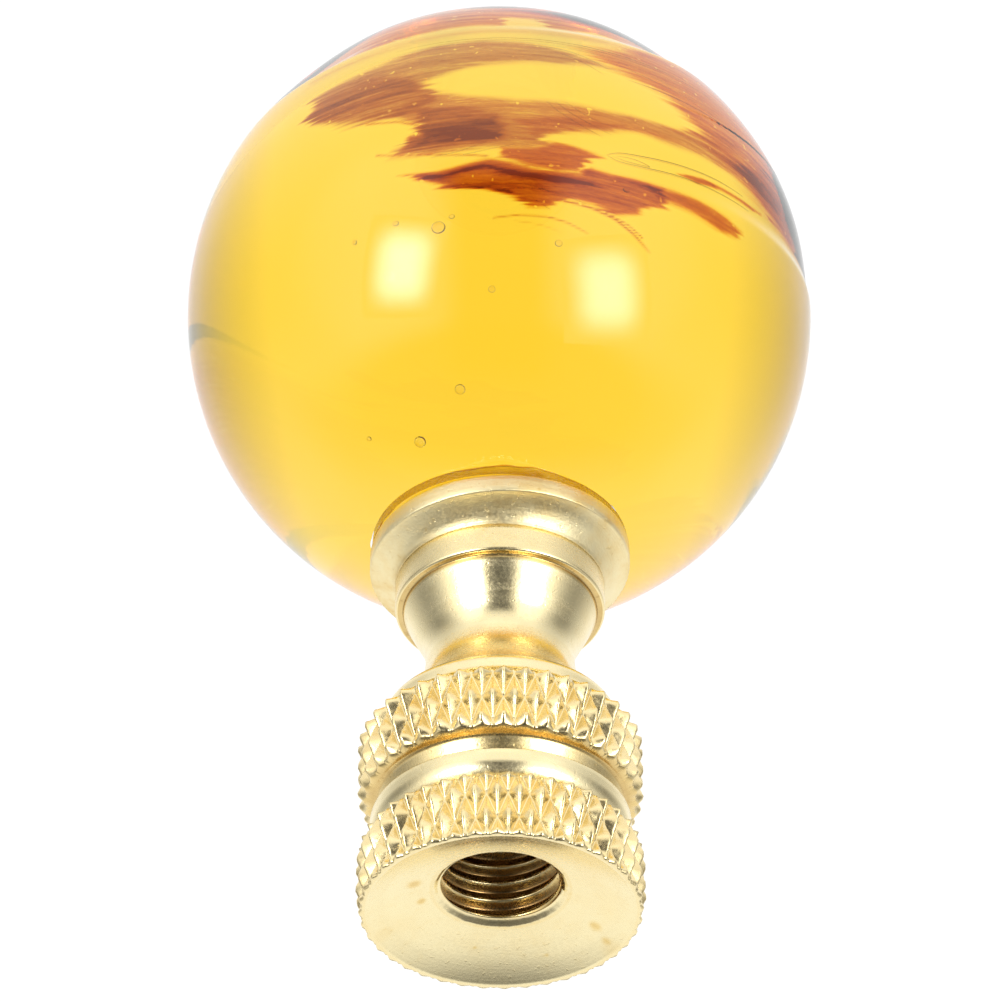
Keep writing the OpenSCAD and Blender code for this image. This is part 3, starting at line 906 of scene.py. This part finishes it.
def glass_material():
    """Yellow glass by absorption, with the brown swirl as a streaked tint of its skin."""
    mat, tree, shader = new_material("amber_glass")
    n = Nodes(tree)
    shader.inputs["Transmission Weight"].default_value = 1.0
    shader.inputs["Roughness"].default_value = 0.0
    shader.inputs["IOR"].default_value = 1.5
    flow = n.attribute("flow", "Vector")
    swirl = n.attribute("swirl")
    red = n.attribute("red")
    strands = n.noise(flow, 1.6, 5, 0.72, 0.6)
    hairs = n.noise(flow, 5.5, 2, 0.6, 0.2)
    specks = n.remap(n.noise(n.place(), 2600, 1), 0.70, 0.76)
    uneven = n.plus(n.remap(strands, 0.25, 0.75, -0.32, 0.32, False),
                    n.remap(hairs, 0.3, 0.7, -0.10, 0.10, False))
    weight = n.remap(swirl, 0.02, 0.40)
    density = n.plus(swirl, n.times(uneven, n.times(weight, 0.45)))
    cleared = n.times(specks, n.times(weight, 0.30))
    density = n.math("SUBTRACT", density, cleared, clamp=True)

    def tints(stops):
        """The skin is crossed once on the way in, and a tint of it passes as its square root."""
        return [(position, tuple(c * c for c in tint)) for position, tint in stops]

    dusky = n.ramp(density, tints([(0.0, (1, 1, 1)), (0.20, (0.88, 0.78, 0.95)), (0.45, (0.61, 0.40, 0.60)),
                                   (0.70, (0.43, 0.20, 0.20)), (1.0, (0.25, 0.08, 0.10))]))
    amber = n.ramp(density, tints([(0.0, (1, 1, 1)), (0.20, (0.94, 0.78, 0.50)), (0.45, (0.78, 0.40, 0.12)),
                                   (0.65, (0.62, 0.20, 0.04)), (0.85, (0.42, 0.09, 0.02)),
                                   (1.0, (0.20, 0.03, 0.01))]))
    n.put(shader.inputs["Base Color"], n.mix(red, dusky, amber))
    volume = tree.nodes.new("ShaderNodeVolumeAbsorption")
    volume.inputs["Color"].default_value = (0.995, 0.869, 0.05, 1)
    volume.inputs["Density"].default_value = 112.0
    tree.links.new(volume.outputs["Volume"], tree.nodes["Material Output"].inputs["Volume"])
    return mat


def clear_material(name, tint, ior, roughness):
    mat, tree, shader = new_material(name)
    n = Nodes(tree)
    shader.inputs["Transmission Weight"].default_value = 1.0
    cloud = n.noise(n.place(), 900, 3)
    n.put(shader.inputs["Base Color"], n.ramp(cloud, [(0.35, tint), (0.65, tuple(c * 0.93 for c in tint))]))
    n.put(shader.inputs["Roughness"], n.remap(cloud, 0.3, 0.7, roughness * 0.6, roughness * 1.4))
    shader.inputs["IOR"].default_value = ior
    return mat


CLEAN_BRASS = (0.96, 0.835, 0.50)
brass = brass_material("turned_brass", CLEAN_BRASS, 0.25, 0.0000038)
cup_brass = brass_material("cup_brass", CLEAN_BRASS, 0.40, 0.000010, 1.0, 0.40)
stud_brass = brass_material("stud_brass", (0.82, 0.64, 0.32), 0.30, 0.000005)
glass = glass_material()
glue = clear_material("clear_adhesive", (0.98, 0.90, 0.62), 1.45, 0.05)
old_glue = clear_material("adhesive_edge", (0.80, 0.52, 0.20), 1.45, 0.15)
gas = clear_material("gas_bubble", (0.98, 0.95, 0.86), 1.30, 0.02)
seam_glass = clear_material("pale_seam", (0.99, 0.93, 0.72), 1.25, 0.06)


def dress(obj, mat, slot, *nodes):
    obj.data.materials.clear()
    obj.data.materials.append(mat)
    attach(obj, "root")
    if nodes:
        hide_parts(*nodes)


dress(base, brass, "turned_brass", "threaded_base")
dress(cup, cup_brass, "cup_brass", "seat_cup")
dress(stud, stud_brass, "stud_brass", "ball_stud")
dress(ball, glass, "amber_glass", "glass_ball")
dress(squeeze, old_glue, "clear_adhesive")
for piece in bubbles:
    dress(piece, gas, "amber_glass")
for piece in seams:
    dress(piece, seam_glass, "amber_glass")
for name in ("stud_adhesive", "seat_adhesive"):
    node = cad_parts[name]
    node.data.materials.clear()
    node.data.materials.append(glue)

# -------------------- camera
# Fitted to the circles of the part: the tilt of the axis away from the camera, and where the centre
# of the foot lies in front of it, in millimetres. The lens is the best of nine that were tried, and
# three more did nearly as well. The lean was fitted as 0.53 degrees and then set to 0.18.
TILT = math.radians(37.97)
LEAN = math.radians(0.18)
FOOT_AT = Vector((0.0, -19.016, -230.93))
LENS = 179.64

lean = Matrix.Rotation(LEAN, 3, "Z")
across = lean @ Vector((1, 0, 0))
towards = lean @ Vector((0, math.sin(TILT), math.cos(TILT)))
axis = lean @ Vector((0, math.cos(TILT), -math.sin(TILT)))
to_row = Matrix((across, -towards, axis))
camera_data = bpy.data.cameras.new("camera")
camera_data.lens = LENS
camera_data.sensor_width = 36
camera_data.clip_start = 0.01
camera_data.clip_end = 20
camera = add_object("camera", camera_data)
camera.matrix_world = Matrix.Translation(to_row @ (-FOOT_AT) * MM) @ to_row.to_4x4()
bpy.context.scene.camera = camera

# -------------------- stage: floor, softboxes and studio
centre = Vector((0, 0, BALL_Z * MM * 0.7))


def aim(azimuth, elevation):
    """A direction seen from the object. Azimuth 0 and elevation 0 point at the camera."""
    a, e = math.radians(azimuth), math.radians(elevation)
    return to_row @ Vector((math.sin(a) * math.cos(e), math.sin(e), math.cos(a) * math.cos(e)))


def softbox(name, azimuth, elevation, distance, width, height, radiance):
    """A lit panel whose glow falls off towards its edges."""
    w, h = width / 2, height / 2
    mesh = bpy.data.meshes.new(name)
    mesh.from_pydata([(-w, -h, 0), (w, -h, 0), (w, h, 0), (-w, h, 0)], [], [(0, 1, 2, 3)])
    obj = add_object(name, mesh)
    way = aim(azimuth, elevation).normalized()
    x = (to_row @ Vector((0, 1, 0))).cross(way).normalized()
    turn = Matrix((x, way.cross(x), way)).transposed()
    obj.matrix_world = Matrix.Translation(centre + way * distance) @ turn.to_4x4()
    mat, tree, shader = new_material(name)
    n = Nodes(tree)
    xyz = n.split(n.place())
    across_edge = n.remap(n.math("ABSOLUTE", xyz[0]), w * 0.15, w, 1.0, 0.0)
    up_edge = n.remap(n.math("ABSOLUTE", xyz[1]), h * 0.22, h, 1.0, 0.0)
    shader.inputs["Base Color"].default_value = (0, 0, 0, 1)
    shader.inputs["Emission Color"].default_value = (1, 1, 1, 1)
    glow = n.times(n.times(across_edge, up_edge), radiance)
    # what shows past the panel's soft edge is the pale studio
    n.put(shader.inputs["Emission Strength"], n.plus(glow, 1.0))
    obj.data.materials.append(mat)
    obj.visible_camera = False
    obj.visible_transmission = False


softbox("softbox_left", -36.0, 17.0, 0.45, 0.235, 0.28, 11.5)
softbox("softbox_right", 39.5, 8.8, 0.45, 0.27, 0.30, 9)

fill_data = bpy.data.lights.new("top_fill", "AREA")
fill_data.shape = "DISK"
fill_data.size = 0.5
fill_data.energy = 0.6
fill = add_object("top_fill", fill_data)
fill.location = (0, 0, 0.9)
fill.visible_glossy = False
fill.visible_transmission = False

# The studio is a white tent with a dark gap round the camera and a darker gap at each side
world = bpy.data.worlds.new("studio")
bpy.context.scene.world = world
world.use_nodes = True
sky = Nodes(world.node_tree)
way = world.node_tree.nodes.new("ShaderNodeTexCoord").outputs["Generated"]
to_right, to_up, to_viewer = (tuple(to_row @ Vector(v)) for v in ((1, 0, 0), (0, 1, 0), (0, 0, 1)))
x = sky.math("ABSOLUTE", sky.vector("DOT_PRODUCT", way, to_right))
y = sky.vector("DOT_PRODUCT", way, to_up)
z = sky.vector("DOT_PRODUCT", way, to_viewer)


def toward(direction):
    """How nearly a direction points along another, as a cosine."""
    part = sky.plus(sky.times(x, direction[0]), sky.times(y, direction[1]))
    return sky.plus(part, sky.times(z, direction[2]))


def dim(light, amount, strength):
    return sky.times(light, sky.math("SUBTRACT", 1.0, sky.times(amount, strength)))


# narrow dark gap above and below the camera
gap_across = sky.remap(x, 0.18, 0.45, 1.0, 0.0)
gap_high = sky.remap(y, 0.74, 0.87, 1.0, 0.0)
gap_low = sky.remap(y, -0.55, -0.25)
gap_front = sky.remap(z, 0.0, 0.25)
camera_gap = sky.times(sky.times(gap_across, gap_front),
                      sky.times(gap_low, gap_high))
# wide dark room below and in front
low_y = sky.math("DIVIDE", sky.plus(y, 0.46), 0.44)
low_x = sky.math("DIVIDE", x, 0.97)
low_reach = sky.vector("LENGTH", sky.join(low_x, low_y))
room = sky.times(sky.remap(low_reach, 0.72, 1.12, 1.0, 0.0), sky.remap(z, -0.15, 0.2))
# glow round the lamps, a duller patch overhead and darker sides
glow = sky.remap(toward((0.641, 0.423, 0.641)), 0.75, 0.93, 0.0, 0.40)
overhead = sky.remap(toward((0.0, 0.84, 0.54)), 0.84, 0.99)
sideways = sky.math("ARCCOSINE", toward((0.984, 0.090, -0.155)))
upper = sky.remap(toward((0.0, 0.985, 0.17)), 0.90, 0.995, 0.0, 0.22)
light = sky.plus(sky.plus(1.0, glow), upper)
light = sky.times(light, sky.remap(sideways, 0.14, 0.83, 0.26, 1.0, False))
light = dim(light, overhead, 0.15)
# the dark parts show in reflections only, and the backdrop itself is plain
rays = world.node_tree.nodes.new("ShaderNodeLightPath").outputs
mirrored = sky.times(rays["Is Glossy Ray"], sky.math("SUBTRACT", 1.0, rays["Is Transmission Ray"]))
light = dim(light, sky.times(room, mirrored), 0.82)
light = dim(light, sky.times(camera_gap, mirrored), 0.92)
light = sky.plus(light, sky.times(rays["Is Camera Ray"], sky.math("SUBTRACT", 1.0, light)))
light = sky.times(light, 1.08)
back = world.node_tree.nodes["Background"]
back.inputs["Color"].default_value = (1, 1, 1, 1)
sky.put(back.inputs["Strength"], light)

floor_mesh = bpy.data.meshes.new("floor")
floor_mesh.from_pydata([(-3, -3, -0.42), (3, -3, -0.42), (3, 3, -0.42), (-3, 3, -0.42)], [], [(0, 1, 2, 3)])
floor = add_object("floor", floor_mesh)
floor_mat, _, floor_shader = new_material("pale_floor")
floor_shader.inputs["Base Color"].default_value = (0.95, 0.95, 0.95, 1)
floor_shader.inputs["Roughness"].default_value = 0.9
floor.data.materials.append(floor_mat)
floor.visible_glossy = False

bpy.context.scene.view_settings.view_transform = "Standard"
bpy.context.scene.view_settings.look = "None"
